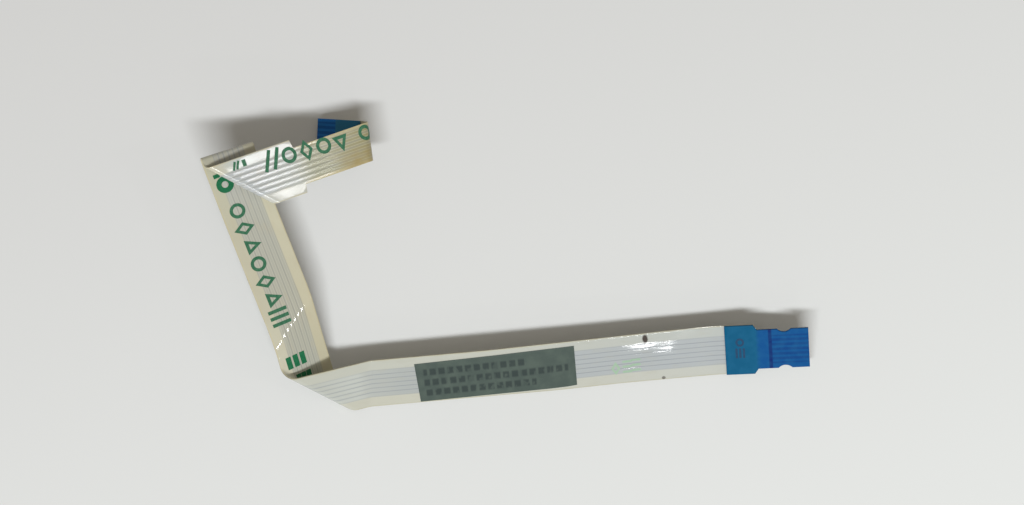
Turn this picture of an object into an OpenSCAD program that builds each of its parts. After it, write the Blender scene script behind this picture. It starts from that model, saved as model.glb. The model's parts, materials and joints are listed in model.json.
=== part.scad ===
// Flat flex cable: two clear films laminated over six flat conductors,
// stiffened at both ends, creased and folded as it lies loose on a surface.
// The strip is swept station by station along one folded centre line. Each
// fold turns it about a crease that may lean across the strip.

/* [Strip] */
// Distance between the centres of neighbouring conductors
conductor_pitch = 0.5; // [0.48:0.01:0.54]
// Width of one flat conductor
conductor_w = 0.3; // [0.25:0.01:0.35]
// Thickness of one flat conductor
conductor_t = 0.04; // [0.035:0.005:0.05]
// Thickness of each clear film
film_t = 0.05; // [0.04:0.005:0.06]
// Full width of the strip between its two heads
strip_w = 5.2; // [5:0.05:5.3]

/* [Board end] */
// Width of the notched head that enters the socket
board_head_w = 4.15; // [4:0.05:4.4]
// Length of the head, from its tip to the shoulder
board_head_len = 4.85; // [4.6:0.05:5]
// Length of the slanted shoulder
board_shoulder_len = 0.35; // [0.2:0.05:0.5]
// Distance of the latch notches from the tip
notch_from_tip = 2.3; // [2:0.05:2.6]
// Radius of the round latch notches
notch_r = 0.85; // [0.7:0.05:1]
// Depth of the latch notches
notch_depth = 0.3; // [0.2:0.05:0.4]
// Length of bare conductor at the board end
board_contact_len = 3.7; // [3:0.1:4]
// Length of the board end's stiffener
board_stiffener_len = 7.9; // [7:0.1:8]

/* [Pad end] */
// Width of the trimmed head
pad_head_w = 3.6; // [3.4:0.05:3.8]
// Straight stretch of the trimmed head before the last fold
pad_head_before_fold = 6.6; // [5.6:0.1:6.8]
// Length over which the strip steps in to the head
pad_step_len = 0.15; // [0.1:0.05:0.3]
// Length of bare conductor at the pad end
pad_contact_len = 2; // [1.5:0.1:2.5]
// Length of the pad end's stiffener
pad_stiffener_len = 4.8; // [3.5:0.1:4.8]

/* [Stiffeners and label] */
// Thickness of both stiffeners
stiffener_t = 0.2; // [0.15:0.01:0.25]
// Length of the label along the strip
label_len = 15.4; // [12:0.1:15.6]
// Width of the label
label_w = 4.3; // [4:0.05:4.4]
// Thickness of the label
label_t = 0.08; // [0.06:0.01:0.1]
// Distance of the label from the board tip
label_from_tip = 22.2; // [21.8:0.1:22.6]
// How far the label's middle lies towards the strip's lower edge
label_offset = 0.2; // [0:0.05:0.3]
// How much nearer to that edge the label's far end lies than its near end
label_slant = 0.3; // [0:0.05:0.4]

/* [How the board end lies] */
// Heading of the board end, seen from above
board_heading = 2.7; // [0:0.1:5]
// Fall of the board end away from its tip
board_fall = 5.5; // [5:0.1:6]
// Tilt of the board end about its own length
board_tilt = 26.5; // [25:0.5:28]

/* [Straight stretches] */
// From the board tip to the soft bend behind the stiffener
board_run = 8.2; // [8:0.1:8.6]
// From that bend to the start of the run's slow twist
label_run = 4; // [3.8:0.1:4.4]
// Between the two halves of the slow twist
twist_run = 10; // [9.8:0.1:10.4]
// From the twist to the crease before the first fold
crease_run = 13.3; // [13:0.1:13.8]
// From that crease to the first fold
corner_run = 3.8; // [3.6:0.1:4.2]
// From the first fold to the soft diagonal bend
upright_run = 5.3; // [5.2:0.1:5.8]
// From the diagonal bend to the slow bend above it
upright_middle_run = 8; // [7.5:0.1:8.5]
// From the slow bend to the second fold
upright_top_run = 6.5; // [6:0.1:7]
// Between the second and the third fold
turnover_run = 2.7; // [2.65:0.05:2.8]
// From the third fold to the last one
top_run = 11.7; // [11.4:0.1:12]
// From the last fold to the pad tip
pad_run = 5.3; // [5.2:0.1:5.6]

/* [Turns] */
// Soft bend behind the board stiffener
board_bend = 5.5; // [4:0.5:7]
// Turn of each half of the slow twist
twist_turn = 3.5; // [2:0.5:4]
// Crease before the first fold
crease_turn = 15.5; // [14:0.5:17]
// First fold, which takes the strip under itself
under_fold = 152; // [149:0.5:155]
// Soft diagonal bend in the upright stretch
upright_bend = 17; // [15:0.5:19]
// Slow bend above it
upright_top_bend = 3; // [2:0.5:4]
// Second fold, which turns the strip over
turnover_fold = 169; // [168:0.5:170]
// Third fold, which sends the strip to the side
side_fold = 170; // [168:0.5:171]
// Last fold, which takes the pad end under
pad_fold = 140; // [138:0.5:142]

/* [Hidden] */

conductor_count = 6;
cutter_h = 2;         // the notch cutters pass right through every layer

// Every fold: straight stretch before it, lean of its crease across the strip,
// turn (positive closes the contact side), inner radius and number of facets.
twist_lean = 50;
folds = [
    [board_run,          0,           -board_bend,       12,   2],
    [label_run,          twist_lean,  -twist_turn,       25,   2],
    [twist_run,          -twist_lean, twist_turn,        25,   2],
    [crease_run,         5,           -crease_turn,      2,    3],
    [corner_run,         -46,         under_fold,        0.6,  9],
    [upright_run,        34,          -upright_bend,     8,    4],
    [upright_middle_run, -25,         upright_top_bend,  8,    2],
    [upright_top_run,    -3.5,        turnover_fold,     0.35, 9],
    [turnover_run,       43,          -side_fold,        0.35, 9],
    [top_run,            -12,         -pad_fold,         0.7,  9]
];

// Heights of the layers above the middle of the conductors, towards the stiffener side
conductor_top = conductor_t / 2;
film_back = conductor_top + film_t;
stiffener_back = film_back + stiffener_t;

// A frame holds a point, the travel direction, the crosswise direction and the
// normal of the stiffener side.
function turned(v, axis, a) = v * cos(a) + cross(axis, v) * sin(a) + axis * (axis * v) * (1 - cos(a));
function ahead(f, d) = [f[0] + d * f[1], f[1], f[2], f[3]];
function creased(f, lean, a) =
    let (axis = cos(lean) * f[2] + sin(lean) * f[1])
    [f[0], turned(f[1], axis, a), turned(f[2], axis, a), turned(f[3], axis, a)];

tip_direction = [-cos(board_fall) * cos(board_heading), -cos(board_fall) * sin(board_heading), -sin(board_fall)];
level_crosswise = cross([0, 0, 1], tip_direction) / norm(cross([0, 0, 1], tip_direction));
tip_crosswise = turned(level_crosswise, tip_direction, -board_tilt);
tip_frame = [[0, 0, 0], tip_direction, tip_crosswise, cross(tip_direction, tip_crosswise)];

// Travel spent inside one fold, and the travel at which each fold starts
function fold_travel(fold) = abs(fold[2]) * PI / 180 * fold[3] / cos(fold[1]);
function travel_to(k) = k == 0 ? folds[0][0] : travel_to(k - 1) + fold_travel(folds[k - 1]) + folds[k][0];

// Frame at the end of fold k
function frame_after(k) =
    k < 0 ? tip_frame : through(ahead(frame_after(k - 1), folds[k][0]), folds[k], folds[k][4]);
function through(f, fold, facets) =
    facets == 0 ? f :
    let (half = fold_travel(fold) / fold[4] / 2)
    through(ahead(creased(ahead(f, half), fold[1], fold[2] / fold[4]), half), fold, facets - 1);

// A station holds its travel, its frame, the tangent of its crease's lean and
// the stretch of its normal that keeps each layer's thickness round the turn.
function fold_stations(k) =
    let (fold = folds[k], step = fold_travel(fold) / fold[4], facet_turn = fold[2] / fold[4])
    [for (i = 0, f = ahead(frame_after(k - 1), fold[0] + step / 2); i < fold[4];
          i = i + 1, f = ahead(creased(f, fold[1], facet_turn), step))
        [travel_to(k) + (i + 0.5) * step, creased(f, fold[1], facet_turn / 2), tan(fold[1]), 1 / cos(facet_turn / 2)]];
crease_stations = [for (k = [0 : len(folds) - 1]) each fold_stations(k)];

last_fold = len(folds) - 1;
pad_start = travel_to(last_fold) + fold_travel(folds[last_fold]);
strip_len = pad_start + pad_run;

// Station square across the strip, anywhere on a straight stretch
function stretch_at(u, k = 0) = k > last_fold || u < travel_to(k) ? k : stretch_at(u, k + 1);
function stretch_start(k) = k == 0 ? 0 : travel_to(k - 1) + fold_travel(folds[k - 1]);
function square_station(u) =
    let (k = stretch_at(u))
    [u, ahead(frame_after(k - 1), u - stretch_start(k)), 0, 1];

// Half width of the films at any travel
board_shoulder_end = board_head_len + board_shoulder_len;
pad_step_start = travel_to(last_fold) - pad_head_before_fold;
width_steps = [board_head_len, board_shoulder_end, pad_step_start, pad_step_start + pad_step_len];
function half_width(u) =
    lookup(u, [[width_steps[0], board_head_w / 2], [width_steps[1], strip_w / 2],
               [width_steps[2], strip_w / 2], [width_steps[3], pad_head_w / 2]]);

// All stations of a piece that reaches from travel u0 to u1
function sorted(list) =
    len(list) < 2 ? list :
    let (pivot = list[0][0])
    concat(sorted([for (s = list) if (s[0] < pivot) s]), [list[0]], sorted([for (s = list) if (s[0] > pivot) s]));
function stations(u0, u1) =
    sorted(concat([square_station(u0), square_station(u1)],
                  [for (u = width_steps) if (u > u0 && u < u1) square_station(u)],
                  [for (s = crease_stations) if (s[0] > u0 && s[0] < u1) s]));

function station_point(s, v, w) = s[1][0] + v * (s[1][2] + s[2] * s[1][1]) + w * s[3] * s[1][3];

// The finished cable stands on its lowest point, centred on the origin
outline = [for (s = stations(0, strip_len), v = [-1, 1], w = [-film_back, film_back])
    station_point(s, v * half_width(s[0]), w)];
stiffener_outline = [for (u = [0, board_stiffener_len, strip_len - pad_stiffener_len, strip_len], v = [-1, 1])
    station_point(square_station(u), v * half_width(u), stiffener_back)];
all_points = concat(outline, stiffener_outline);
function low(axis) = min([for (p = all_points) p[axis]]);
function high(axis) = max([for (p = all_points) p[axis]]);
placement = -[(low(0) + high(0)) / 2, (low(1) + high(1)) / 2, low(2)];

// Solid swept through the stations. rings holds one closed outline of
// [crosswise, height] points for each station, all with the same point count.
module swept(stops, rings) {
    n = len(rings[0]);
    points = [for (i = [0 : len(stops) - 1], q = rings[i]) placement + station_point(stops[i], q[0], q[1])];
    sides = [for (i = [0 : len(stops) - 2], j = [0 : n - 1])
        [i * n + j, (i + 1) * n + j, (i + 1) * n + (j + 1) % n, i * n + (j + 1) % n]];
    start_cap = [for (j = [0 : n - 1]) j];
    end_cap = [for (j = [n - 1 : -1 : 0]) (len(stops) - 1) * n + j];
    polyhedron(points, concat([start_cap], sides, [end_cap]), convexity = 8);
}

function slab(left, right, low, high) = [[left, low], [right, low], [right, high], [left, high]];

// Layer as wide as the strip, between two heights
module full_width_layer(u0, u1, low, high) {
    stops = stations(u0, u1);
    swept(stops, [for (s = stops) slab(-half_width(s[0]), half_width(s[0]), low, high)]);
}

function conductor_middle(i) = (i - (conductor_count + 1) / 2) * conductor_pitch;

// Outline of the contact-side film: flat outside, with a channel for each conductor
function channelled(half) =
    let (floor_w = -conductor_top, rim_w = conductor_top, outer_w = -film_back)
    concat([[-half, outer_w], [half, outer_w], [half, rim_w]],
           [for (i = [conductor_count : -1 : 1], q = [[1, rim_w], [1, floor_w], [-1, floor_w], [-1, rim_w]])
               [conductor_middle(i) + q[0] * conductor_w / 2, q[1]]],
           [[-half, rim_w]]);

// Round notches on both edges of the board head
module latch_notches() {
    f = square_station(notch_from_tip)[1];
    origin = placement + f[0];
    place = [[f[1].x, f[2].x, f[3].x, origin.x], [f[1].y, f[2].y, f[3].y, origin.y],
             [f[1].z, f[2].z, f[3].z, origin.z], [0, 0, 0, 1]];
    multmatrix(place)
        for (side = [-1, 1])
            translate([0, side * (board_head_w / 2 + notch_r - notch_depth), -cutter_h / 2])
                cylinder(r = notch_r, h = cutter_h, $fn = 32);
}

module contact_side_film() {
    stops = stations(board_contact_len, strip_len - pad_contact_len);
    color([0.82, 0.84, 0.82])
        swept(stops, [for (s = stops) channelled(half_width(s[0]))]);
}

module stiffener_side_film() {
    color([0.78, 0.8, 0.78])
        difference() {
            full_width_layer(0, strip_len, conductor_top, film_back);
            latch_notches();
        }
}

module conductor(i) {
    stops = stations(0, strip_len);
    left = conductor_middle(i) - conductor_w / 2;
    color([0.72, 0.72, 0.7])
        swept(stops, [for (s = stops) slab(left, left + conductor_w, -conductor_top, conductor_top)]);
}

module board_stiffener() {
    color([0.1, 0.4, 0.7])
        difference() {
            full_width_layer(0, board_stiffener_len, film_back, stiffener_back);
            latch_notches();
        }
}

module pad_stiffener() {
    color([0.08, 0.32, 0.58])
        full_width_layer(strip_len - pad_stiffener_len, strip_len, film_back, stiffener_back);
}

module label() {
    stops = stations(label_from_tip, label_from_tip + label_len);
    color([0.36, 0.42, 0.39])
        swept(stops, [for (s = stops)
            let (middle = label_offset + label_slant * ((s[0] - label_from_tip) / label_len - 0.5))
            slab(middle - label_w / 2, middle + label_w / 2, film_back, film_back + label_t)]);
}

contact_side_film();
stiffener_side_film();
for (i = [1 : conductor_count])
    conductor(i);
board_stiffener();
pad_stiffener();
label();
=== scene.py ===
import json
import math
import bmesh
import bpy
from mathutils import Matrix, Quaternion, Vector, noise

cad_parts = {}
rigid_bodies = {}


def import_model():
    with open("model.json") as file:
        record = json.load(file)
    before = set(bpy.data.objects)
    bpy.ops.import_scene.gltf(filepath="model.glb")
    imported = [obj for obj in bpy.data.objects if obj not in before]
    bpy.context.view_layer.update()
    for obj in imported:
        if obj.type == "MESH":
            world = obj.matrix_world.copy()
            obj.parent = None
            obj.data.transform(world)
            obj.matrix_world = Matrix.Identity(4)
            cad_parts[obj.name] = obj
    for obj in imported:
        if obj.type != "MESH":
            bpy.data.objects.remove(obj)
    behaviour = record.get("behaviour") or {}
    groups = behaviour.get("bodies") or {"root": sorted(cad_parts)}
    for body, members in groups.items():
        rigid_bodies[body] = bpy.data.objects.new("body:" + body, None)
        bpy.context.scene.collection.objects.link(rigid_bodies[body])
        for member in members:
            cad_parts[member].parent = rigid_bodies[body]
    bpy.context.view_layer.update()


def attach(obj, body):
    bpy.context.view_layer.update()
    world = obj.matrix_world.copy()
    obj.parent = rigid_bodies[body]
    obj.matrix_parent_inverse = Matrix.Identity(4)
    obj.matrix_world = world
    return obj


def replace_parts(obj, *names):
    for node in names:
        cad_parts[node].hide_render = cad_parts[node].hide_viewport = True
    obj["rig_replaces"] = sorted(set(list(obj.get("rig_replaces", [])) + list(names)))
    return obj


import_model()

mm = 0.001
print("frame loaded")


# The strip: two films over six flat conductors, swept along one folded line.
# Lengths are in millimetres here and become metres where points are placed.
strip = {
    "pitch": 0.5,
    "conductorCount": 6,
    "conductorWidth": 0.3,
    "conductorThickness": 0.04,
    "filmThickness": 0.05,
    "width": 5.2,
    "boardHeadWidth": 4.15,
    "boardHeadLength": 4.85,
    "shoulderLength": 0.35,
    "notchFromTip": 2.3,
    "notchRadius": 0.85,
    "notchDepth": 0.3,
    "padHeadWidth": 3.6,
    "padHeadBeforeFold": 6.6,
    "padStepLength": 0.15,
    "boardContactLength": 3.7,
    "padContactLength": 2.0,
    "tip": (28.4788, -7.7199, 2.1549),
    "heading": 2.7,
    "fall": 5.5,
    "tilt": 26.5,
    "lastRun": 5.3,
}

# Each fold: straight run before it, lean of its crease, turn, inner radius, facets of the plain model
folds = [
    (8.2, 0, -5.5, 12, 2),
    (4.0, 50, -3.5, 25, 2),
    (10.0, -50, 3.5, 25, 2),
    (13.3, 5, -15.5, 2, 3),
    (3.8, -46, 152, 0.6, 9),
    (5.3, 34, -17, 8, 4),
    (8.0, -25, 3, 8, 2),
    (6.5, -3.5, 169, 0.35, 9),
    (2.7, 43, -170, 0.35, 9),
    (11.7, -12, -140, 0.7, 9),
]


def turned(direction, axis, angle):
    return Quaternion(axis, angle) @ direction


def tipFrame():
    heading, fall = math.radians(strip["heading"]), math.radians(strip["fall"])
    ahead = Vector((-math.cos(fall) * math.cos(heading), -math.cos(fall) * math.sin(heading), -math.sin(fall)))
    level = Vector((0, 0, 1)).cross(ahead).normalized()
    across = turned(level, ahead, -math.radians(strip["tilt"]))
    return Vector(strip["tip"]), ahead, across, ahead.cross(across)


def throughFold(start, fold, share):
    # frame after the given share of a fold, on a true arc that ends where the plain model's facets end
    place, ahead, across, up = start
    run, lean, turn, radius, facets = fold
    lean, turn = math.radians(lean), math.radians(turn)
    axis = math.cos(lean) * across + math.sin(lean) * ahead
    onward = math.cos(lean) * ahead - math.sin(lean) * across
    facet = abs(turn) / facets / 2
    arcRadius = radius * facet / math.tan(facet)
    angle = turn * share
    side = 1 if turn > 0 else -1
    place = place + side * arcRadius * (onward * math.sin(angle) - up * (1 - math.cos(angle)))
    place = place + axis * radius * abs(angle) * math.tan(lean)
    return place, turned(ahead, axis, angle), turned(across, axis, angle), turned(up, axis, angle)


def straightOn(start, distance):
    return (start[0] + distance * start[1],) + start[1:]


# Legs of the folded line, and the lean of the cross lines at each end of a fold
legs, foldEnds = [], []
travel, here = 0.0, tipFrame()
for fold in folds:
    legs.append((travel, travel + fold[0], here, None))
    travel, here = travel + fold[0], straightOn(here, fold[0])
    inFold = math.radians(abs(fold[2])) * fold[3] / math.cos(math.radians(fold[1]))
    legs.append((travel, travel + inFold, here, fold))
    foldEnds.append((travel, travel + inFold, math.tan(math.radians(fold[1]))))
    travel, here = travel + inFold, throughFold(here, fold, 1.0)
legs.append((travel, travel + strip["lastRun"], here, None))
stripLength = travel + strip["lastRun"]
padStep = foldEnds[-1][0] - strip["padHeadBeforeFold"]

labelLook = {
    "fromTip": 22.2,
    "length": 15.4,
    "width": 4.3,
    "thickness": 0.08,
    "offset": 0.2,
    "slant": 0.3,
    "farTrim": 0.33, "farLean": 0.055,      # the far end is cut a little short and out of square
    # dull rows of small blocks: place across from the label's middle, where the row starts and ends
    "rows": [(-1.12, 26.9, 36.6), (0.05, 22.9, 36.6), (1.2, 26.0, 36.6)],
    "rowHeight": 0.72,
    "fieldColour": (69, 81, 75),
    "rowColour": (38, 48, 48),
    "rowDepth": 0.7,
    "wornColour": (79, 91, 83),
}

# Places where the strip is cut or stepped square across
squareCuts = [0.0, labelLook["fromTip"], labelLook["fromTip"] + labelLook["length"],
              padStep, padStep + strip["padStepLength"], foldEnds[-1][1] + 1.0, stripLength]
leans = sorted([(cut, 0.0) for cut in squareCuts]
               + [(begin, tangent) for begin, end, tangent in foldEnds]
               + [(end, tangent) for begin, end, tangent in foldEnds])


def leanAt(s):
    for (s0, lean0), (s1, lean1) in zip(leans, leans[1:]):
        if s <= s1:
            return lean0 if s1 - s0 < 1e-9 else lean0 + (lean1 - lean0) * max(s - s0, 0) / (s1 - s0)
    return leans[-1][1]


def frameAt(s):
    for begin, end, start, fold in legs:
        if s <= end + 1e-9:
            break
    if fold is None:
        return straightOn(start, s - begin)
    return throughFold(start, fold, (s - begin) / (end - begin))


def travelAt(u, v):
    # station whose cross line passes through the flat point u, v
    for (s0, lean0), (s1, lean1) in zip(leans, leans[1:]):
        low, high = s0 + v * lean0, s1 + v * lean1
        if u <= high and high > low:
            return s0 + (s1 - s0) * (u - low) / (high - low)
    return stripLength


def smooth(x, low, high):
    x = min(max((x - low) / (high - low), 0.0), 1.0)
    return x * x * (3 - 2 * x)


ripple = {
    "height": 0.03,      # margins buckle a little between the conductors and the cut edge
    "calmHeight": 0.006,
    "calmUntil": 47.0,
    "wave": 2.7,
    "clearOfEnds": 10.0,
    "lift": 0.05,        # one margin stands up beside the crease of the upright
    "liftAt": (55.6, 2.6),
    "upperShare": 0.3,   # share of the buckling left past the last but one fold
    "upperFrom": 72.0, "upperTo": 74.0,
    "swayShare": 0.55, "looseShare": 0.9,      # regular and irregular part of the buckling
    # slight swellings of the film: place along and across, reach along and across, height
    "domes": [(15.7, -0.5, 3.8, 1.4, 0.04), (75.05, -1.9, 0.95, 0.85, -0.01)],
}


def rippleAt(u, v):
    inMargin = smooth(abs(v), 1.5, 2.6)
    calm = smooth(u, ripple["clearOfEnds"], ripple["clearOfEnds"] + 3) * smooth(padStep - u, 0.0, 3.0)
    pastCalm = smooth(u, ripple["calmUntil"], ripple["calmUntil"] + 3)
    height = ripple["calmHeight"] + (ripple["height"] - ripple["calmHeight"]) * pastCalm
    sway = math.sin(2 * math.pi * u / ripple["wave"] + (0.8 if v > 0 else 2.1))
    middle, reach = ripple["liftAt"]
    lift = ripple["lift"] * smooth(v, 1.3, 2.9) * (1 - smooth(abs(u - middle), reach / 2, reach))
    height *= 1 - (1 - ripple["upperShare"]) * smooth(u, ripple["upperFrom"], ripple["upperTo"])
    loose = noise.noise((u * 0.45, 3.0 if v > 0 else 9.0, 0.5))
    offset = height * inMargin * calm * (ripple["swayShare"] * sway + ripple["looseShare"] * loose) - lift
    for domeU, domeV, reachU, reachV, domeHeight in ripple["domes"]:
        near = (math.cos(math.pi * min(math.hypot((u - domeU) / reachU, (v - domeV) / reachV), 1)) + 1) / 2
        offset = offset * (1 - near) + domeHeight * near
    return offset


def onStrip(station, lean, u, v, w):
    place, ahead, across, up = station
    return (place + v * (across + lean * ahead) + (w + rippleAt(u, v)) * up) * mm


def halfWidth(s):
    half, head, pad = strip["width"] / 2, strip["boardHeadWidth"] / 2, strip["padHeadWidth"] / 2
    if s < strip["boardHeadLength"] + strip["shoulderLength"]:
        share = max(s - strip["boardHeadLength"], 0) / strip["shoulderLength"]
        return head + (half - head) * share
    if s > padStep:
        share = min((s - padStep) / strip["padStepLength"], 1)
        return half + (pad - half) * share
    return half


def notchedHalfWidth(s):
    half, radius = halfWidth(s), strip["notchRadius"]
    along = s - strip["notchFromTip"]
    if abs(along) >= radius:
        return half
    middle = strip["boardHeadWidth"] / 2 + radius - strip["notchDepth"]
    return min(half, middle - math.sqrt(radius * radius - along * along))


def conductorMiddle(i):
    return (i - (strip["conductorCount"] + 1) / 2) * strip["pitch"]


def aboveConductors(v):
    # 1 over a conductor and 0 between them, with a soft slope
    nearest = min(abs(v - conductorMiddle(i)) for i in range(1, strip["conductorCount"] + 1))
    return 1 - smooth(nearest, strip["conductorWidth"] / 2, strip["pitch"] / 2 + 0.02)


def stopsBetween(s0, s1, spacing=0.5, extra=()):
    marks = {s0, s1} | {s for s in extra if s0 < s < s1}
    for begin, end, start, fold in legs:
        marks |= {s for s in (begin, end) if s0 < s < s1}
    marks |= {s for s, lean in leans if s0 < s < s1}
    marks = sorted(marks)
    kept = [marks[0]]
    for s in marks[1:]:
        if s - kept[-1] > 0.004:
            kept.append(s)
    kept[-1] = s1
    stops = [kept[0]]
    for low, high in zip(kept, kept[1:]):
        middle, count = (low + high) / 2, math.ceil((high - low) / spacing)
        for (begin, end, tangent), fold in zip(foldEnds, folds):
            if begin <= middle <= end:
                count = max(count, math.ceil(abs(fold[2]) / 7 * (high - low) / (end - begin)), 4)
        stops += [low + (high - low) * (i + 1) / count for i in range(count)]
    return stops


def filmRows(half):
    # places across the strip: dense over the conductors, spread over both margins
    inner = []
    for i in range(1, strip["conductorCount"] + 1):
        inner += [conductorMiddle(i) + d for d in (-0.25, -0.215, -0.18, -0.15, -0.07, 0.07, 0.15, 0.18, 0.215)]
    inner.append(conductorMiddle(strip["conductorCount"]) + 0.25)
    reach = inner[-1]
    margin = [reach + (half - reach) * share for share in (0.12, 0.3, 0.5, 0.7, 0.85, 0.95, 0.985, 1.0)]
    return [-v for v in reversed(margin)] + inner + margin


def layer(name, stops, rowsAt, heights, slide=None):
    # closed sheet between two heights, drawn flat as a grid and then carried onto the folded strip
    rows = [rowsAt(s) for s in stops]
    bm = bmesh.new()
    flat = bm.verts.layers.float_vector.new("flat")
    column, row = bm.verts.layers.int.new("column"), bm.verts.layers.int.new("row")
    columns, across = len(stops) - 1, len(rows[0]) - 1
    bmesh.ops.create_grid(bm, x_segments=columns, y_segments=across, size=1)
    for vert in bm.verts:
        vert[column] = round((vert.co.x + 1) / 2 * columns)
        vert[row] = round((vert.co.y + 1) / 2 * across)
    under = set(bm.verts)
    bmesh.ops.extrude_face_region(bm, geom=bm.faces[:], use_keep_orig=True)
    stations = [(frameAt(s), leanAt(s)) for s in stops]
    for vert in bm.verts:
        s, v = stops[vert[column]], rows[vert[column]][vert[row]]
        edge = min(v - rows[vert[column]][0], rows[vert[column]][-1] - v)
        end = min(s - stops[0], stops[-1] - s)
        low, high = heights(s, v, min(edge, end))
        station, lean = stations[vert[column]]
        u = s + v * lean
        vert.co = onStrip(station, lean, u, v, low if vert in under else high)
        if slide:
            vert.co += slide(s, v) * mm * station[1]
            u += slide(s, v)
        vert[flat] = (u, v, edge)
    bm.verts.layers.int.remove(bm.verts.layers.int["column"])
    bm.verts.layers.int.remove(bm.verts.layers.int["row"])
    bmesh.ops.recalc_face_normals(bm, faces=bm.faces)
    return finished(name, bm)


def finished(name, bm, smoothAngle=38):
    mesh = bpy.data.meshes.new(name)
    for face in bm.faces:
        face.smooth = True
    for edge in bm.edges:
        edge.smooth = len(edge.link_faces) == 2 and edge.calc_face_angle(0.0) < math.radians(smoothAngle)
    bm.to_mesh(mesh)
    bm.free()
    piece = bpy.data.objects.new(name, mesh)
    bpy.context.scene.collection.objects.link(piece)
    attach(piece, "root")
    return piece


half = strip["conductorThickness"] / 2
film = strip["filmThickness"]


# How deep the films sink between the conductors, and where a fold has loosened them
sink = {
    "between": 0.001,
    # where the films stand off the conductors: from, to and how deep they then fall between them
    "loosened": [(14.8, 17.4, 0.0035), (53.4, 55.6, 0.03), (75.6, 82.5, 0.03)],
}


def filmInner(s, v):
    depth = sink["between"] + max((deep - sink["between"]) * smooth(s, begin - 1, begin) * smooth(end - s, -2.0, 0.5)
                                  for begin, end, deep in sink["loosened"])
    return half - min(depth, half - 0.0005) * (1 - aboveConductors(v))


def stiffenerFilmHeights(s, v, edge):
    inner = filmInner(s, v)
    return inner, inner + film * (0.75 + 0.25 * smooth(edge, 0.0, 0.05))


def contactFilmHeights(s, v, edge):
    inner = -filmInner(s, v)
    return inner - film * (0.75 + 0.25 * smooth(edge, 0.0, 0.05)), inner


notchStops = [strip["notchFromTip"] + strip["notchRadius"] * math.sin(math.radians(a)) for a in range(-52, 53, 4)]
stepStops = [strip["boardHeadLength"], strip["boardHeadLength"] + strip["shoulderLength"],
             padStep, padStep + strip["padStepLength"]]
endStops = [0.02, 0.06, stripLength - 0.06, stripLength - 0.02]

stiffenerFilm = layer("stiffenerSideFilm", stopsBetween(0, stripLength, 0.42, notchStops + stepStops + endStops),
                      lambda s: filmRows(notchedHalfWidth(s)), stiffenerFilmHeights)
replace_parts(stiffenerFilm, "stiffener_side_film")

filmStart, filmEnd = strip["boardContactLength"], stripLength - strip["padContactLength"]
contactFilm = layer("contactSideFilm",
                    stopsBetween(filmStart, filmEnd, 0.42,
                                 stepStops + [filmStart + 0.02, filmStart + 0.06, filmEnd - 0.06, filmEnd - 0.02]),
                    lambda s: filmRows(halfWidth(s)), contactFilmHeights)
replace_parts(contactFilm, "contact_side_film")
print("films laid over the folded line")

# Flat conductors with rolled edges
for i in range(1, strip["conductorCount"] + 1):
    middle, reach = conductorMiddle(i), strip["conductorWidth"] / 2
    rows = [middle + reach * share for share in (-1, -0.93, -0.8, -0.4, 0, 0.4, 0.8, 0.93, 1)]

    def rolled(s, v, edge):
        top = half * (0.45 + 0.53 * smooth(edge, 0.0, 0.035))
        return -top, top

    conductor = layer("conductor%d" % i, stopsBetween(0, stripLength, 0.7, [0.02, stripLength - 0.02]),
                      lambda s: rows, rolled)
    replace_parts(conductor, "conductor_%d" % i)
print("conductors drawn")

boardStiffenerLook = {
    "length": 7.9,
    "thickness": 0.2,
    "wideColour": (3, 83, 118),
    "headColour": (2, 74, 132),
    "lineColour": (2, 36, 100),
    "stripeColour": (2, 58, 118),
    "markColour": (12, 56, 88),
    "markWorn": (16, 72, 108),
    "wornColour": (44, 112, 150), "wornShare": 0.18,
}
padStiffenerLook = {
    "length": 4.8,
    "thickness": 0.2,
    "tipColour": (30, 102, 170),
    "innerColour": (44, 108, 142),
    "stripeColour": (16, 72, 134),
    "wornColour": (44, 84, 112), "wornShare": 0.15,
}


def stiffenerRows(half):
    shares = (0.0, 0.1, 0.2, 0.3, 0.4, 0.5, 0.6, 0.7, 0.8, 0.9, 0.95)
    side = [half * share for share in shares[1:]] + [half - 0.05, half - 0.02, half]
    side = sorted(v for v in side if v <= half - 0.05) + [half - 0.02, half]
    return [-v for v in reversed(side)] + [0.0] + side


def stiffenerHeights(thickness):
    def heights(s, v, edge):
        soft = smooth(edge, 0.0, 0.05)
        return half + film + 0.012 * (1 - soft), half + film + thickness * (0.82 + 0.18 * soft)
    return heights


boardStiffener = layer("boardStiffener",
                       stopsBetween(0, boardStiffenerLook["length"], 0.3,
                                    notchStops + stepStops[:2] + [0.02, 0.05, boardStiffenerLook["length"] - 0.05,
                                                                  boardStiffenerLook["length"] - 0.02]),
                       lambda s: stiffenerRows(notchedHalfWidth(s)), stiffenerHeights(boardStiffenerLook["thickness"]))
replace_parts(boardStiffener, "board_stiffener")

padStart = stripLength - padStiffenerLook["length"]
padStiffener = layer("padStiffener",
                     stopsBetween(padStart, stripLength, 0.3,
                                  [padStart + 0.02, padStart + 0.05, stripLength - 0.05, stripLength - 0.02]),
                     lambda s: stiffenerRows(halfWidth(s)), stiffenerHeights(padStiffenerLook["thickness"]))
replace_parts(padStiffener, "pad_stiffener")
print("stiffeners cut")


def labelRows(s):
    share = (s - labelLook["fromTip"]) / labelLook["length"] - 0.5
    middle, reach = labelLook["offset"] + labelLook["slant"] * share, labelLook["width"] / 2
    shares = [i / 20 for i in range(-19, 20)]
    return [middle - reach, middle - reach + 0.03] + [middle + reach * f for f in shares] + \
           [middle + reach - 0.03, middle + reach]


def labelHeights(s, v, edge):
    sunk = 0.006 * (1 - aboveConductors(v)) if abs(v) < 1.75 else 0.006
    soft = smooth(edge, 0.0, 0.05)
    return half + film + 0.004 - 0.003 * soft, half + film + labelLook["thickness"] * (0.75 + 0.25 * soft) - sunk


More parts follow.
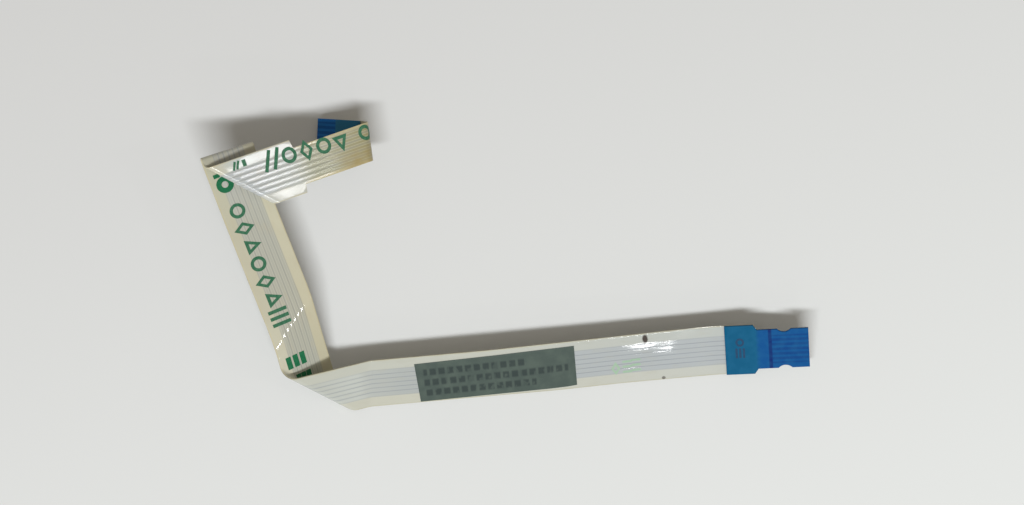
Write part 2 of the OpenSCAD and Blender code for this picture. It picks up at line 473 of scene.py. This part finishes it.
labelEnd = labelLook["fromTip"] + labelLook["length"]
label = layer("label", stopsBetween(labelLook["fromTip"], labelEnd, 0.35,
                                    [labelLook["fromTip"] + 0.03, labelEnd - 0.03]), labelRows, labelHeights,
              lambda s, v: -(labelLook["farTrim"] + labelLook["farLean"] * v) * smooth(s, labelEnd - 3, labelEnd))
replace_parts(label, "label")
print("label laid")


# Printed marks: plain rings, bars, triangles, diamonds and blocks in rows along the strip
def ringShape(bm, size, stroke, sides=28, squeeze=0.92):
    outer = bmesh.ops.create_circle(bm, segments=sides, radius=size)["verts"]
    inner = bmesh.ops.create_circle(bm, segments=sides, radius=size - stroke * (1 if sides > 4 else 2))["verts"]
    loops = list({edge for vert in outer + inner for edge in vert.link_edges})
    bmesh.ops.bridge_loops(bm, edges=loops)
    bmesh.ops.scale(bm, vec=(squeeze, 1, 1), verts=outer + inner)


def barShape(bm, length, stroke, middle=(0, 0), angle=0.0):
    made = bmesh.ops.create_grid(bm, x_segments=1, y_segments=1, size=0.5)["verts"]
    bmesh.ops.scale(bm, vec=(stroke, length, 1), verts=made)
    bmesh.ops.rotate(bm, matrix=Quaternion((0, 0, 1), math.radians(angle)).to_matrix(), verts=made)
    bmesh.ops.translate(bm, vec=(middle[0], middle[1], 0), verts=made)


def drawMark(bm, kind, height, stroke):
    if kind == "ring":
        ringShape(bm, height / 2, stroke)
    elif kind == "triangle":
        ringShape(bm, height / 2, stroke, sides=3, squeeze=0.8)
    elif kind == "diamond":
        ringShape(bm, height / 2, stroke * 0.8, sides=4, squeeze=0.6)
    elif kind == "bars":
        for offset in (-0.3, 0, 0.3):
            barShape(bm, height * 0.9, stroke, (offset * height, 0))
    elif kind == "levels":
        for offset in (-0.38, 0, 0.38):
            barShape(bm, stroke, height * 0.6, (0, offset * height))
    elif kind == "slant":
        for offset in (-0.2, 0.2):
            barShape(bm, height, stroke, (offset * height, 0), 24)
    elif kind == "block":
        barShape(bm, height, height * 0.6)


def printedMarks(name, marks, height, stroke, outerHeight, thickness, cutStep=0.15):
    bm = bmesh.new()
    flat = bm.verts.layers.float_vector.new("flat")
    for u, v, kind, size, weight in marks:
        before = set(bm.verts)
        drawMark(bm, kind, height * size, stroke * weight)
        fresh = [vert for vert in bm.verts if vert not in before]
        bmesh.ops.translate(bm, vec=(u, v, 0), verts=fresh)
    low = min(vert.co.x for vert in bm.verts)
    high = max(vert.co.x for vert in bm.verts)
    places = [(low + cutStep * i, 0) for i in range(1, int((high - low) / cutStep) + 1)]
    places += [(v, 1) for v in filmRows(strip["width"] / 2)]
    for place, axis in places:
        normal = (1, 0, 0) if axis == 0 else (0, 1, 0)
        point = (place, 0, 0) if axis == 0 else (0, place, 0)
        near = [f for f in bm.faces if min(v.co[axis] for v in f.verts) < place < max(v.co[axis] for v in f.verts)]
        geometry = near + list({e for f in near for e in f.edges}) + list({v for f in near for v in f.verts})
        if near:
            bmesh.ops.bisect_plane(bm, geom=geometry, dist=1e-6, plane_co=point, plane_no=normal)
    under = set(bm.verts)
    bmesh.ops.extrude_face_region(bm, geom=bm.faces[:], use_keep_orig=True)
    for vert in bm.verts:
        u, v = vert.co.x, vert.co.y
        s = travelAt(u, v)
        base = outerHeight(s, v)
        lift = math.copysign(thickness, base)
        clear = printLook["gap"] if base > 0 else -printLook["gap"]
        vert.co = onStrip(frameAt(s), leanAt(s), u, v, base + clear + (0 if vert in under else lift))
        vert[flat] = (u, v, 1.0)
    bmesh.ops.recalc_face_normals(bm, faces=bm.faces)
    return finished(name, bm)


def contactOuter(s, v):
    return contactFilmHeights(s, v, 1.0)[0]


def stiffenerOuter(s, v):
    return stiffenerFilmHeights(s, v, 1.0)[1]


def boardStiffenerTop(s, v):
    return half + film + boardStiffenerLook["thickness"]


printLook = {
    "height": 2.1,
    "thickness": 0.003,
    "gap": 0.001,           # keeps the ink clear of the surface that it lies on
    "stroke": 0.33,
    "thinStroke": 0.23,
    "inkColour": (52, 104, 76),
    "boldColour": (24, 104, 66),
    "throughColour": (150, 178, 150),
    "inkWorn": (84, 132, 102), "boldWorn": (52, 124, 86), "throughWorn": (160, 176, 160),
    "ringShare": 0.74,      # rings are lower than the other marks of a row
    "rowStart": 55.2,
    "rowPitch": 1.78,
    "rowPlace": -1.05,
    "upperStart": 79.3,
    "upperPitch": 1.68,
}
rowKinds = ["bars", "triangle", "diamond", "ring", "triangle", "diamond", "ring"]
upperKinds = ["slant", "ring", "diamond", "ring", "triangle"]
sizes = {"ring": printLook["ringShare"]}
rowSet = [(printLook["rowStart"] + printLook["rowPitch"] * i, printLook["rowPlace"], kind, sizes.get(kind, 1.0), 1.0)
          for i, kind in enumerate(rowKinds)]
rowSet += [(printLook["upperStart"] + printLook["upperPitch"] * i, -1.38 + 0.11 * i, kind, sizes.get(kind, 1.0), 1.0)
           for i, kind in enumerate(upperKinds)]
rowSet += [(88.5, -0.95, "ring", 0.7, 1.0), (75.95, -1.95, "slant", 0.4, 0.7), (76.75, -1.95, "block", 0.3, 1.0)]
rowMarks = printedMarks("printedRow", rowSet, printLook["height"], printLook["stroke"],
                        contactOuter, printLook["thickness"])
boldSet = [(48.55, -1.35, "block", 0.36, 1.0), (48.95, -0.5, "levels", 0.7, 1.6), (50.7, -0.85, "levels", 0.95, 1.7),
           (68.6, -1.25, "ring", 0.82, 1.6), (69.6, -1.75, "block", 0.3, 1.0)]
boldMarks = printedMarks("printedBold", boldSet, printLook["height"], printLook["stroke"],
                         contactOuter, printLook["thickness"])
throughSet = [(16.45, 0.7, "levels", 0.7, 1.0), (17.3, 0.8, "levels", 0.7, 1.0), (18.4, 0.9, "diamond", 0.7, 1.1),
              (45.0, 1.9, "block", 0.3, 1.0)]
throughMarks = printedMarks("showingThrough", throughSet, printLook["height"], printLook["thinStroke"],
                            stiffenerOuter, printLook["thickness"])
boardSet = [(6.5, -0.85, "ring", 0.42, 0.9), (6.5, 0.3, "bars", 0.55, 0.9)]
boardMarks = printedMarks("boardEndMark", boardSet, printLook["height"], printLook["thinStroke"],
                          boardStiffenerTop, printLook["thickness"])
print("marks printed")


# Materials. Colours are written as everyday 0 to 255 values.
def tint(colour, alpha=1.0):
    linear = [c / 255 / 12.92 if c / 255 <= 0.04045 else ((c / 255 + 0.055) / 1.055) ** 2.4 for c in colour]
    return (*linear, alpha)


class Nodes:
    # one material's node tree, with short ways to add the nodes used here
    def __init__(self, name):
        self.material = bpy.data.materials.new(name)
        self.material.use_nodes = True
        self.tree = self.material.node_tree
        self.tree.nodes.clear()
        output = self.tree.nodes.new("ShaderNodeOutputMaterial")
        self.shader = self.tree.nodes.new("ShaderNodeBsdfPrincipled")
        self.tree.links.new(self.shader.outputs["BSDF"], output.inputs["Surface"])
        place = self.tree.nodes.new("ShaderNodeAttribute")
        place.attribute_name = "flat"
        split = self.tree.nodes.new("ShaderNodeSeparateXYZ")
        self.tree.links.new(place.outputs["Vector"], split.inputs["Vector"])
        self.along, self.across, self.edge = split.outputs
        self.flat = place.outputs["Vector"]

    def put(self, socket, value):
        if isinstance(value, bpy.types.NodeSocket):
            self.tree.links.new(value, socket)
        else:
            socket.default_value = value

    def calc(self, operation, *values):
        node = self.tree.nodes.new("ShaderNodeMath")
        node.operation = operation
        for socket, value in zip(node.inputs, values):
            self.put(socket, value)
        return node.outputs["Value"]

    def fade(self, value, low, high, start=0.0, end=1.0):
        node = self.tree.nodes.new("ShaderNodeMapRange")
        node.interpolation_type = "SMOOTHSTEP"
        for name, given in zip(("Value", "From Min", "From Max", "To Min", "To Max"), (value, low, high, start, end)):
            self.put(node.inputs[name], given)
        return node.outputs["Result"]

    def band(self, value, low, high, soft):
        rise = self.fade(value, low - soft, low + soft)
        return self.calc("MULTIPLY", rise, self.fade(value, high - soft, high + soft, 1.0, 0.0))

    def blend(self, factor, first, second, kind="MIX"):
        node = self.tree.nodes.new("ShaderNodeMix")
        node.data_type, node.blend_type = "RGBA", kind
        self.put(node.inputs["Factor"], factor)
        self.put(node.inputs[6], first)
        self.put(node.inputs[7], second)
        return node.outputs[2]

    def ramp(self, value, stops):
        node = self.tree.nodes.new("ShaderNodeValToRGB")
        node.color_ramp.interpolation = "EASE"
        elements = node.color_ramp.elements
        elements[0].position, elements[0].color = stops[0][0], tint(stops[0][1])
        elements[1].position, elements[1].color = stops[-1][0], tint(stops[-1][1])
        for position, colour in stops[1:-1]:
            elements.new(position).color = tint(colour)
        self.put(node.inputs["Fac"], value)
        return node.outputs["Color"]

    def grain(self, stretch, scale, detail=3.0):
        scaled = self.tree.nodes.new("ShaderNodeVectorMath")
        scaled.operation = "MULTIPLY"
        self.put(scaled.inputs[0], self.flat)
        scaled.inputs[1].default_value = stretch
        node = self.tree.nodes.new("ShaderNodeTexNoise")
        node.inputs["Scale"].default_value = scale
        node.inputs["Detail"].default_value = detail
        self.put(node.inputs["Vector"], scaled.outputs["Vector"])
        return node.outputs["Fac"]

    def bump(self, height, strength, distance):
        node = self.tree.nodes.new("ShaderNodeBump")
        node.inputs["Strength"].default_value = strength
        node.inputs["Distance"].default_value = distance
        self.put(node.inputs["Height"], height)
        self.tree.links.new(node.outputs["Normal"], self.shader.inputs["Normal"])

    def finish(self, **values):
        for name, value in values.items():
            self.put(self.shader.inputs[name.replace("_", " ")], value)
        return self.material


def conductorZone(nodes):
    # 1 over the conductors' band, and 1 in the thin lines beside each conductor
    near = nodes.calc("PINGPONG", nodes.calc("ADD", nodes.across, 10.0), strip["pitch"] / 2)
    inside = nodes.fade(nodes.calc("ABSOLUTE", nodes.across), 1.62, 1.42, 0.0, 1.0)
    return near, inside


filmLook = {
    "stiffenerSide": {
        # From 74 mm on the colours and margins darken to tan: partly the film's own tint, partly painted shade of the
        # film tucked inside the pad-end fold.
        "stops": [(0.0, (165, 170, 171)), (9.0, (165, 170, 171)), (20.0, (165, 170, 170)), (38.0, (164, 168, 164)),
                  (41.2, (170, 173, 167)), (43.0, (184, 187, 179)), (48.0, (176, 178, 168)),
                  (74.0, (172, 170, 156)), (95.0, (150, 146, 118))],
        "leftMargin": [(0.0, (175, 179, 174)), (40.0, (182, 183, 171)), (95.0, (178, 174, 150))],
        "rightMargin": [(0.0, (182, 184, 176)), (40.0, (186, 185, 170)), (95.0, (184, 178, 150))],
        "lineColour": (134, 139, 143), "lineDepth": 0.75,
        "brightColour": (170, 174, 174), "brightDepth": 0.5,
        "rimColour": (176, 170, 136),
        "stainColour": (170, 168, 152),
    },
    "contactSide": {
        # Past 83 mm the colours and both margins fall to tan: painted shade, standing for the shadowed surface under
        # the raised upper run seen through the clear film.
        "stops": [(0.0, (165, 169, 167)), (45.0, (178, 179, 166)), (56.0, (177, 176, 160)),
                  (64.0, (178, 178, 165)), (70.0, (184, 184, 176)),
                  (77.0, (176, 180, 181)), (80.5, (180, 184, 180)), (83.0, (158, 157, 131)), (89.0, (151, 144, 105))],
        "leftMargin": [(0.0, (176, 172, 158)), (50.0, (202, 199, 177)), (58.0, (195, 190, 166)),
                       (70.0, (190, 187, 164)), (74.0, (194, 190, 170)), (76.0, (192, 197, 191)),
                       (81.0, (196, 196, 190)), (83.0, (176, 168, 134)), (95.0, (168, 158, 120))],
        "rightMargin": [(0.0, (178, 176, 160)), (50.0, (196, 190, 162)), (72.0, (204, 200, 176)),
                        (76.0, (196, 196, 188)), (81.0, (190, 191, 181)), (83.0, (178, 170, 134)), (95.0, (172, 150, 96))],
        "lineColour": (150, 150, 142), "lineDepth": 0.7,
        "brightColour": (198, 197, 180), "brightDepth": 0.6,
        "rimColour": (196, 184, 140),
        "stainColour": (192, 180, 150),
        # warm tan patch: partly the tint of the glue between the layers, partly painted light and shade shining
        # through the pad-end fold
        "tanGlueAndLightColour": (157, 139, 88), "tanGlueAndLightFrom": 84.5,
    },
    "specular": 0.22,
    "roughness": 0.46,
    "coatWeight": 0.8,
    "coatRoughness": 0.07,
    "dirtColour": (48, 34, 28),
    # dirt spots: place along and across, reach along and across, depth
    "dirt": [(15.43, -2.0, 0.30, 0.52, 0.95), (13.92, 2.42, 0.2, 0.2, 0.7)],
}


def filmMaterial(name, look, dirt=()):
    nodes = Nodes(name)
    near, inside = conductorZone(nodes)
    colour = nodes.ramp(nodes.calc("MULTIPLY", nodes.along, 0.01), [(u / 100, c) for u, c in look["stops"]])
    drawn = nodes.grain((0.12, 5.0, 0.0), 2.2)
    line = nodes.calc("MULTIPLY", nodes.fade(near, 0.075, 0.02), inside)
    line = nodes.calc("MULTIPLY", line, nodes.fade(drawn, 0.25, 0.7, 0.55, 1.0))
    bright = nodes.calc("MULTIPLY", nodes.band(near, 0.10, 0.14, 0.025), inside)
    colour = nodes.blend(nodes.calc("MULTIPLY", line, look["lineDepth"]), colour, tint(look["lineColour"]))
    colour = nodes.blend(nodes.calc("MULTIPLY", bright, look["brightDepth"]), colour, tint(look["brightColour"]))
    mottle = nodes.grain((0.35, 1.2, 0.0), 1.6)
    left = nodes.fade(nodes.across, -1.42, -1.62)
    right = nodes.fade(nodes.across, 1.42, 1.62)
    span = nodes.calc("MULTIPLY", nodes.along, 0.01)
    colour = nodes.blend(left, colour, nodes.ramp(span, [(u / 100, c) for u, c in look["leftMargin"]]))
    colour = nodes.blend(right, colour, nodes.ramp(span, [(u / 100, c) for u, c in look["rightMargin"]]))
    rim = nodes.calc("MULTIPLY", nodes.fade(nodes.edge, 0.16, 0.03), nodes.fade(mottle, 0.3, 0.6, 0.25, 0.6))
    colour = nodes.blend(rim, colour, tint(look["rimColour"]))
    colour = nodes.blend(nodes.fade(mottle, 0.5, 0.75, 0.0, 0.22), colour, tint(look["stainColour"]))
    # Warm tan patch near the pad-end fold: partly the glue's own tint, partly painted light and shade seen through the
    # film.
    if "tanGlueAndLightColour" in look:
        glueAndLightPatch = nodes.calc("MULTIPLY", nodes.fade(nodes.along, look["tanGlueAndLightFrom"], look["tanGlueAndLightFrom"] + 2.5),
                           nodes.fade(nodes.across, -0.4, 1.4))
        glueAndLightPatch = nodes.calc("MULTIPLY", glueAndLightPatch, nodes.fade(nodes.grain((0.5, 0.9, 0.0), 0.9), 0.38, 0.58, 0.35, 0.9))
        colour = nodes.blend(glueAndLightPatch, colour, tint(look["tanGlueAndLightColour"]))
    for u, v, length, width, depth in dirt:
        du = nodes.calc("DIVIDE", nodes.calc("SUBTRACT", nodes.along, u), length)
        dv = nodes.calc("DIVIDE", nodes.calc("SUBTRACT", nodes.across, v), width)
        reach = nodes.calc("SQRT", nodes.calc("ADD", nodes.calc("MULTIPLY", du, du), nodes.calc("MULTIPLY", dv, dv)))
        rough = nodes.calc("ADD", reach, nodes.calc("MULTIPLY", nodes.grain((1, 1, 0), 3.5), 0.5))
        spot = nodes.calc("MULTIPLY", nodes.fade(rough, 1.35, 0.85), depth)
        colour = nodes.blend(spot, colour, tint(filmLook["dirtColour"]))
    nodes.bump(drawn, 0.06, 0.00002)
    rough = nodes.fade(drawn, 0.3, 0.7, filmLook["roughness"] - 0.06, filmLook["roughness"] + 0.08)
    return nodes.finish(Base_Color=colour, Roughness=rough, Specular_IOR_Level=filmLook["specular"],
                        Coat_Weight=filmLook["coatWeight"], Coat_Roughness=filmLook["coatRoughness"])


def paint(piece, material):
    piece.data.materials.clear()
    piece.data.materials.append(material)


paint(stiffenerFilm, filmMaterial("clear film, stiffener side", filmLook["stiffenerSide"], filmLook["dirt"]))
paint(contactFilm, filmMaterial("clear film, contact side", filmLook["contactSide"]))


def conductorMaterial():
    nodes = Nodes("tinned copper")
    streak = nodes.grain((0.2, 9.0, 0.0), 3.0)
    colour = nodes.blend(nodes.fade(streak, 0.3, 0.7), tint((196, 196, 192)), tint((176, 172, 164)))
    nodes.bump(streak, 0.1, 0.00001)
    return nodes.finish(Base_Color=colour, Metallic=0.9, Roughness=nodes.fade(streak, 0.3, 0.7, 0.28, 0.42))


tinned = conductorMaterial()
for piece in [o for o in bpy.data.objects if o.name.startswith("conductor") and "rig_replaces" in o]:
    paint(piece, tinned)


def stripedBlue(nodes, colour, stripeColour, low, high, strength):
    near, inside = conductorZone(nodes)
    stripe = nodes.calc("MULTIPLY", nodes.fade(near, 0.10, 0.17, 1.0, 0.0), inside)
    stripe = nodes.calc("MULTIPLY", stripe, nodes.band(nodes.along, low, high, 0.05))
    return nodes.blend(nodes.calc("MULTIPLY", stripe, strength), colour, tint(stripeColour))


def wornBlue(nodes, colour, look):
    mottle = nodes.grain((1, 1, 0), 1.1)
    colour = nodes.blend(nodes.fade(mottle, 0.35, 0.7, 0.0, look["wornShare"]), colour, tint(look["wornColour"]))
    nodes.bump(nodes.grain((2, 2, 0), 6.0), 0.15, 0.00001)
    return nodes.finish(Base_Color=colour, Roughness=nodes.fade(mottle, 0.3, 0.7, 0.5, 0.6), Specular_IOR_Level=0.1)


def boardStiffenerMaterial(look):
    nodes = Nodes("blue stiffener, board end")
    wide = nodes.fade(nodes.along, 4.55, 5.1)
    colour = nodes.blend(wide, tint(look["headColour"]), tint(look["wideColour"]))
    colour = stripedBlue(nodes, colour, look["stripeColour"], -1.0, 3.5, 0.8)
    colour = stripedBlue(nodes, colour, look["headColour"], 3.9, 4.9, 0.5)
    line = nodes.band(nodes.along, 3.48, 3.8, 0.06)
    colour = nodes.blend(line, colour, tint(look["lineColour"]))
    return wornBlue(nodes, colour, look)


def padStiffenerMaterial(look):
    nodes = Nodes("blue stiffener, pad end")
    bare = stripLength - strip["padContactLength"]
    colour = nodes.blend(nodes.fade(nodes.along, bare - 0.1, bare + 0.1),
                         tint(look["innerColour"]), tint(look["tipColour"]))
    colour = stripedBlue(nodes, colour, look["stripeColour"], bare, stripLength + 1, 0.7)
    return wornBlue(nodes, colour, look)


paint(boardStiffener, boardStiffenerMaterial(boardStiffenerLook))
paint(padStiffener, padStiffenerMaterial(padStiffenerLook))


def labelMaterial(look):
    nodes = Nodes("grey-green label")
    colour = tint(look["fieldColour"])
    mottle = nodes.grain((0.6, 0.6, 0), 1.3)
    colour = nodes.blend(nodes.fade(mottle, 0.35, 0.75), colour, tint(look["wornColour"]))
    slope = look["slant"] / look["length"]
    middle = nodes.calc("MULTIPLY", nodes.calc("SUBTRACT", nodes.along, look["fromTip"] + look["length"] / 2), slope)
    fromMiddle = nodes.calc("SUBTRACT", nodes.across, nodes.calc("ADD", middle, look["offset"]))
    for k, (place, begin, end) in enumerate(look["rows"]):
        row = nodes.band(fromMiddle, place - look["rowHeight"] / 2, place + look["rowHeight"] / 2, 0.14)
        row = nodes.calc("MULTIPLY", row, nodes.band(nodes.along, begin, end, 0.1))
        beat = nodes.calc("PINGPONG", nodes.calc("ADD", nodes.along, 0.17 * k), 0.42)
        cells = nodes.grain((1, 0.6, 0), 1.5 + 0.2 * k, 1.0)
        inkFill = nodes.calc("MULTIPLY", nodes.fade(beat, 0.04, 0.2), nodes.fade(cells, 0.36, 0.46, 0.35, 1.0))
        inked = nodes.calc("MULTIPLY", nodes.calc("MULTIPLY", row, inkFill), look["rowDepth"])
        colour = nodes.blend(inked, colour, tint(look["rowColour"]))
    nodes.bump(nodes.grain((1, 1, 0), 9.0), 0.2, 0.00001)
    return nodes.finish(Base_Color=colour, Roughness=nodes.fade(mottle, 0.3, 0.7, 0.5, 0.62), Specular_IOR_Level=0.2)


paint(label, labelMaterial(labelLook))


def inkMaterial(name, colour, worn):
    nodes = Nodes(name)
    wear = nodes.grain((1, 1, 0), 4.0)
    shade = nodes.blend(nodes.fade(wear, 0.35, 0.75, 0.0, 0.5), tint(colour), tint(worn))
    return nodes.finish(Base_Color=shade, Roughness=nodes.fade(wear, 0.3, 0.7, 0.42, 0.55), Specular_IOR_Level=0.25)


paint(rowMarks, inkMaterial("green ink", printLook["inkColour"], printLook["inkWorn"]))
paint(boldMarks, inkMaterial("green ink, heavy", printLook["boldColour"], printLook["boldWorn"]))
paint(throughMarks, inkMaterial("green ink seen through the film", printLook["throughColour"],
                                printLook["throughWorn"]))
paint(boardMarks, inkMaterial("dark ink", boardStiffenerLook["markColour"], boardStiffenerLook["markWorn"]))
print("materials made")

# Pale surface
floorLook = {
    "size": 1.6,
    "gap": 0.02,            # how far the surface lies below the strip's lowest point, in mm
    "roughness": 0.7,
    "specular": 0.2,
    "middle": 0.45,         # share of the light colour under the strip's middle
    "speckleScale": 18.0,
    "speckleShare": 0.25,
    "darkColour": (202, 201, 199),
    "lightColour": (228, 230, 227),
    "shadeColour": (210, 211, 208),
    "rightSlope": 3.2,
    "frontSlope": 9.0,
}
floorMesh = bmesh.new()
bmesh.ops.create_grid(floorMesh, x_segments=8, y_segments=8, size=floorLook["size"] / 2)
bmesh.ops.translate(floorMesh, vec=(0, 0, -floorLook["gap"] * mm), verts=floorMesh.verts)
floorData = bpy.data.meshes.new("floor")
floorMesh.to_mesh(floorData)
floorMesh.free()
floor = bpy.data.objects.new("floor", floorData)
bpy.context.scene.collection.objects.link(floor)
floorMaterial = bpy.data.materials.new("pale surface")
floorMaterial.use_nodes = True
floorTree = floorMaterial.node_tree
floorShader = floorTree.nodes["Principled BSDF"]
floorShader.inputs["Roughness"].default_value = floorLook["roughness"]
floorShader.inputs["Specular IOR Level"].default_value = floorLook["specular"]


def floorNode(kind, **settings):
    node = floorTree.nodes.new(kind)
    for name, value in settings.items():
        setattr(node, name, value)
    return node


spread = floorNode("ShaderNodeTexCoord")
split = floorNode("ShaderNodeSeparateXYZ")
floorTree.links.new(spread.outputs["Object"], split.inputs["Vector"])
slope = floorNode("ShaderNodeMath", operation="MULTIPLY_ADD")     # brighter towards the right and the front
slope.inputs[1].default_value, slope.inputs[2].default_value = floorLook["rightSlope"], floorLook["middle"]
floorTree.links.new(split.outputs["X"], slope.inputs[0])
slopeBoth = floorNode("ShaderNodeMath", operation="MULTIPLY_ADD", use_clamp=True)
slopeBoth.inputs[1].default_value = -floorLook["frontSlope"]
floorTree.links.new(split.outputs["Y"], slopeBoth.inputs[0])
floorTree.links.new(slope.outputs["Value"], slopeBoth.inputs[2])
floorMix = floorNode("ShaderNodeMix", data_type="RGBA")
floorMix.inputs[6].default_value = tint(floorLook["darkColour"])
floorMix.inputs[7].default_value = tint(floorLook["lightColour"])
floorTree.links.new(slopeBoth.outputs["Value"], floorMix.inputs["Factor"])
speckle = floorNode("ShaderNodeTexNoise")
speckle.inputs["Scale"].default_value = floorLook["speckleScale"]
floorTree.links.new(spread.outputs["Object"], speckle.inputs["Vector"])
faint = floorNode("ShaderNodeMix", data_type="RGBA")
faint.inputs[7].default_value = tint(floorLook["shadeColour"])
speckleAmount = floorNode("ShaderNodeMath", operation="MULTIPLY")
speckleAmount.inputs[1].default_value = floorLook["speckleShare"]
floorTree.links.new(speckle.outputs["Fac"], speckleAmount.inputs[0])
floorTree.links.new(speckleAmount.outputs["Value"], faint.inputs["Factor"])
floorTree.links.new(floorMix.outputs[2], faint.inputs[6])
floorTree.links.new(faint.outputs[2], floorShader.inputs["Base Color"])
floorData.materials.append(floorMaterial)

# One long soft lamp to the front, three small ones for the glints and an even sky
lightLook = {
    "distance": 1.5,
    "elevation": 60.8,
    "sideways": -3.0,
    "length": 1.1,
    "depth": 0.14,
    "power": 20.8,
    "sky": 0.293,
    "skyColour": (1.07, 1.0, 0.90, 1.0),
    "lampColour": (0.97, 1.0, 1.04),
    # small far lamps that only leave glints on the clear film: where the glint falls,
    # azimuth from the front, height, size and power
    "glints": [
        {"over": (0.0131, -0.0077, 0.002), "azimuth": 11.7, "height": 34.4, "size": (0.075, 0.045), "power": 0.3},
        {"over": (-0.0205, -0.0059, 0.0041), "azimuth": 83.9, "height": 35.4, "size": (0.05, 0.05), "power": 0.4},
        {"over": (-0.0223, 0.0079, 0.0063), "azimuth": 114.4, "height": 70.1, "size": (0.06, 0.06), "power": 0.15},
    ],
}


def skyDirection(azimuth, height):
    azimuth, height = math.radians(azimuth), math.radians(height)
    return Vector((math.sin(azimuth) * math.cos(height), -math.cos(azimuth) * math.cos(height), math.sin(height)))


def areaLamp(name, shape, size, power, over, towards):
    # lamp that looks back at the given place from the given direction
    data = bpy.data.lights.new(name, "AREA")
    data.shape = shape
    data.size, data.size_y = size
    data.energy = power
    lamp = bpy.data.objects.new(name, data)
    lamp.location = Vector(over) + towards * lightLook["distance"]
    lamp.rotation_mode = "QUATERNION"
    lamp.rotation_quaternion = (-towards).to_track_quat("-Z", "Y")
    bpy.context.scene.collection.objects.link(lamp)
    return lamp


longLamp = areaLamp("longLamp", "RECTANGLE", (lightLook["length"], lightLook["depth"]), lightLook["power"],
                    (0, 0, 0), skyDirection(lightLook["sideways"], lightLook["elevation"]))
longLamp.data.color = lightLook["lampColour"]
for k, look in enumerate(lightLook["glints"]):
    areaLamp("glintLamp%d" % k, "ELLIPSE", look["size"], look["power"], look["over"],
             skyDirection(look["azimuth"], look["height"]))

world = bpy.data.worlds.new("sky")
bpy.context.scene.world = world
world.use_nodes = True
background = world.node_tree.nodes["Background"]
background.inputs["Color"].default_value = lightLook["skyColour"]
background.inputs["Strength"].default_value = lightLook["sky"]

cameraLook = {"place": (0.0004, 0.00113, 0.285), "lens": 105.2}
cameraData = bpy.data.cameras.new("camera")
cameraData.lens = cameraLook["lens"]
cameraData.sensor_width = 36.0
cameraData.clip_start, cameraData.clip_end = 0.01, 10.0
camera = bpy.data.objects.new("camera", cameraData)
camera.location = cameraLook["place"]
bpy.context.scene.collection.objects.link(camera)
bpy.context.scene.camera = camera
bpy.context.scene.view_settings.view_transform = "Standard"
print("stage and light set")
